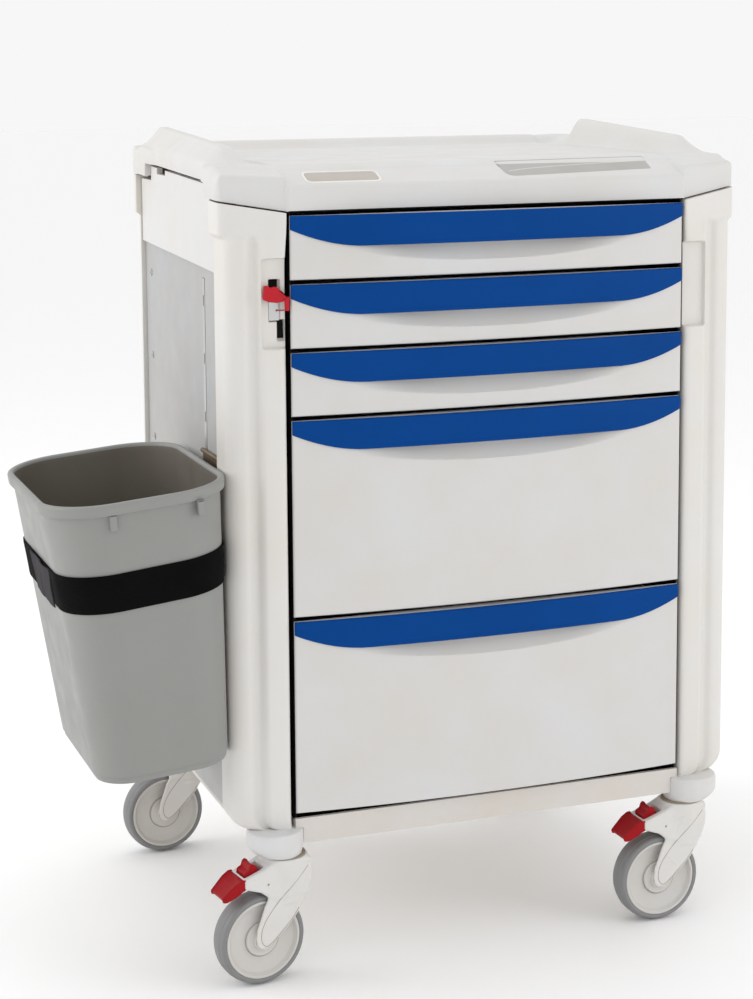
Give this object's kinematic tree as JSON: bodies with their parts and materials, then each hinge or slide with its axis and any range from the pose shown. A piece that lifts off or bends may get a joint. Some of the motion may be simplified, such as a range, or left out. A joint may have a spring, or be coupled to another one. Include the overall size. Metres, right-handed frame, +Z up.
{
  "type": "mobile medical treatment cart",
  "caption": "Bedside treatment cart on swivel casters with bowed drawers, blue full-width pulls, a tamper-seal lock bar and a strapped-on waste bin.",
  "frame": {"origin": "floor level under the centre of the overall box of cabinet and bin", "axes": "+X to the right as a user faces the drawers, +Y to the back, +Z up; drawers open towards -Y"},
  "size_m": [0.993, 0.617, 1.129],
  "materials": {
    "shell_white": "satin moulded, fine texture",
    "shell_shade": "satin moulded, fine texture",
    "panel_white": "satin moulded sheet",
    "base_white": "satin moulded",
    "front_white": "satin moulded, fine texture",
    "pull_blue": "semi-gloss",
    "frame_black": "satin black",
    "tray_grey": "satin",
    "zinc_steel": "zinc plated",
    "badge": "semi-gloss, blank",
    "seal_red": "gloss",
    "bin_grey": "satin, scuffed",
    "strap_black": "woven webbing",
    "caster_white": "semi-gloss",
    "hub_white": "semi-gloss",
    "tyre_grey": "satin thermoplastic rubber",
    "pedal_red": "semi-gloss"
  },
  "bodies": {
    "cabinet": {"worktop": "shell_white", "name_plate": "badge", "column_front_left": "shell_shade", "column_front_right": "shell_shade", "column_rear_left": "shell_shade", "column_rear_right": "shell_shade", "side_panel_left": "panel_white", "side_panel_right": "panel_white", "back_panel": "panel_white", "base_pan": "base_white", "drawer_frame": "frame_black", "cabinet_slide_rails": "zinc_steel", "accessory_strips": "zinc_steel", "panel_screws": "zinc_steel", "corner_boots": "shell_white", "caster_stems": "zinc_steel", "bin_strap": "strap_black", "bin_hanger": "zinc_steel"},
    "lock": {"lock_bar": "zinc_steel", "lock_hasp": "zinc_steel", "seal_tag": "seal_red"},
    "bin": {"waste_bin": "bin_grey"},
    "drawer_1": {"drawer_1_front": "front_white", "drawer_1_pull": "pull_blue", "drawer_1_tray": "tray_grey"},
    "drawer_1_mid": {"drawer_1_slide_mid": "zinc_steel"},
    "drawer_2": {"drawer_2_front": "front_white", "drawer_2_pull": "pull_blue", "drawer_2_tray": "tray_grey"},
    "drawer_2_mid": {"drawer_2_slide_mid": "zinc_steel"},
    "drawer_3": {"drawer_3_front": "front_white", "drawer_3_pull": "pull_blue", "drawer_3_tray": "tray_grey"},
    "drawer_3_mid": {"drawer_3_slide_mid": "zinc_steel"},
    "drawer_4": {"drawer_4_front": "front_white", "drawer_4_pull": "pull_blue", "drawer_4_tray": "tray_grey"},
    "drawer_4_mid": {"drawer_4_slide_mid": "zinc_steel"},
    "drawer_5": {"drawer_5_front": "front_white", "drawer_5_pull": "pull_blue", "drawer_5_tray": "tray_grey"},
    "drawer_5_mid": {"drawer_5_slide_mid": "zinc_steel"},
    "caster_fl": {"caster_fl_fork": "caster_white", "caster_fl_axle": "zinc_steel"},
    "caster_fl_wheel": {"caster_fl_hub": "hub_white", "caster_fl_tyre": "tyre_grey"},
    "caster_fl_brake": {"caster_fl_pedal": "pedal_red"},
    "caster_fr": {"caster_fr_fork": "caster_white", "caster_fr_axle": "zinc_steel"},
    "caster_fr_wheel": {"caster_fr_hub": "hub_white", "caster_fr_tyre": "tyre_grey"},
    "caster_fr_brake": {"caster_fr_pedal": "pedal_red"},
    "caster_rl": {"caster_rl_fork": "caster_white", "caster_rl_axle": "zinc_steel"},
    "caster_rl_wheel": {"caster_rl_hub": "hub_white", "caster_rl_tyre": "tyre_grey"},
    "caster_rr": {"caster_rr_fork": "caster_white", "caster_rr_axle": "zinc_steel"},
    "caster_rr_wheel": {"caster_rr_hub": "hub_white", "caster_rr_tyre": "tyre_grey"}
  },
  "joints": [
    {"name": "lock_lift", "type": "slide", "parent": "cabinet", "child": "lock", "axis": [0, 0, 1], "range_m": [0, 0.02]},
    {"name": "bin_lift_off", "type": "slide", "parent": "cabinet", "child": "bin", "axis": [-0.0906, 0, 0.9959], "range_m": [0, 0.4]},
    {"name": "drawer_1_slide", "type": "slide", "parent": "cabinet", "child": "drawer_1", "axis": [0, -1, 0], "range_m": [0, 0.44]},
    {"name": "drawer_1_mid_slide", "type": "slide", "parent": "cabinet", "child": "drawer_1_mid", "axis": [0, -1, 0], "range_m": [0, 0.22]},
    {"name": "drawer_2_slide", "type": "slide", "parent": "cabinet", "child": "drawer_2", "axis": [0, -1, 0], "range_m": [0, 0.44]},
    {"name": "drawer_2_mid_slide", "type": "slide", "parent": "cabinet", "child": "drawer_2_mid", "axis": [0, -1, 0], "range_m": [0, 0.22]},
    {"name": "drawer_3_slide", "type": "slide", "parent": "cabinet", "child": "drawer_3", "axis": [0, -1, 0], "range_m": [0, 0.44]},
    {"name": "drawer_3_mid_slide", "type": "slide", "parent": "cabinet", "child": "drawer_3_mid", "axis": [0, -1, 0], "range_m": [0, 0.22]},
    {"name": "drawer_4_slide", "type": "slide", "parent": "cabinet", "child": "drawer_4", "axis": [0, -1, 0], "range_m": [0, 0.44]},
    {"name": "drawer_4_mid_slide", "type": "slide", "parent": "cabinet", "child": "drawer_4_mid", "axis": [0, -1, 0], "range_m": [0, 0.22]},
    {"name": "drawer_5_slide", "type": "slide", "parent": "cabinet", "child": "drawer_5", "axis": [0, -1, 0], "range_m": [0, 0.44]},
    {"name": "drawer_5_mid_slide", "type": "slide", "parent": "cabinet", "child": "drawer_5_mid", "axis": [0, -1, 0], "range_m": [0, 0.22]},
    {"name": "caster_fl_swivel", "type": "hinge", "parent": "cabinet", "child": "caster_fl", "pos_m": [-0.174, -0.2415, 0.15], "axis": [0, 0, 1], "continuous": true},
    {"name": "caster_fl_roll", "type": "hinge", "parent": "caster_fl", "child": "caster_fl_wheel", "pos_m": [-0.21356, -0.24741, 0.0625], "axis": [0.1478, -0.989, 0], "continuous": true},
    {"name": "caster_fl_brake_pedal", "type": "hinge", "parent": "caster_fl", "child": "caster_fl_brake", "pos_m": [-0.23532, -0.25066, 0.141], "axis": [0.1478, -0.989, 0], "range_deg": [0, 8]},
    {"name": "caster_fr_swivel", "type": "hinge", "parent": "cabinet", "child": "caster_fr", "pos_m": [0.421, -0.2415, 0.15], "axis": [0, 0, 1], "continuous": true},
    {"name": "caster_fr_roll", "type": "hinge", "parent": "caster_fr", "child": "caster_fr_wheel", "pos_m": [0.38102, -0.24276, 0.0625], "axis": [0.0314, -0.9995, 0], "continuous": true},
    {"name": "caster_fr_brake_pedal", "type": "hinge", "parent": "caster_fr", "child": "caster_fr_brake", "pos_m": [0.35903, -0.24345, 0.141], "axis": [0.0314, -0.9995, 0], "range_deg": [0, 8]},
    {"name": "caster_rl_swivel", "type": "hinge", "parent": "cabinet", "child": "caster_rl", "pos_m": [-0.174, 0.2725, 0.15], "axis": [0, 0, 1], "continuous": true},
    {"name": "caster_rl_roll", "type": "hinge", "parent": "caster_rl", "child": "caster_rl_wheel", "pos_m": [-0.21385, 0.26901, 0.0625], "axis": [0.0872, -0.9962, 0], "continuous": true},
    {"name": "caster_rr_swivel", "type": "hinge", "parent": "cabinet", "child": "caster_rr", "pos_m": [0.421, 0.2725, 0.15], "axis": [0, 0, 1], "continuous": true},
    {"name": "caster_rr_roll", "type": "hinge", "parent": "caster_rr", "child": "caster_rr_wheel", "pos_m": [0.38105, 0.27041, 0.0625], "axis": [0.0523, -0.9986, 0], "continuous": true}
  ],
  "couplings": [
    {"joint": "drawer_1_mid_slide", "follows": "drawer_1_slide", "ratio": 0.5},
    {"joint": "drawer_2_mid_slide", "follows": "drawer_2_slide", "ratio": 0.5},
    {"joint": "drawer_3_mid_slide", "follows": "drawer_3_slide", "ratio": 0.5},
    {"joint": "drawer_4_mid_slide", "follows": "drawer_4_slide", "ratio": 0.5},
    {"joint": "drawer_5_mid_slide", "follows": "drawer_5_slide", "ratio": 0.5}
  ]
}
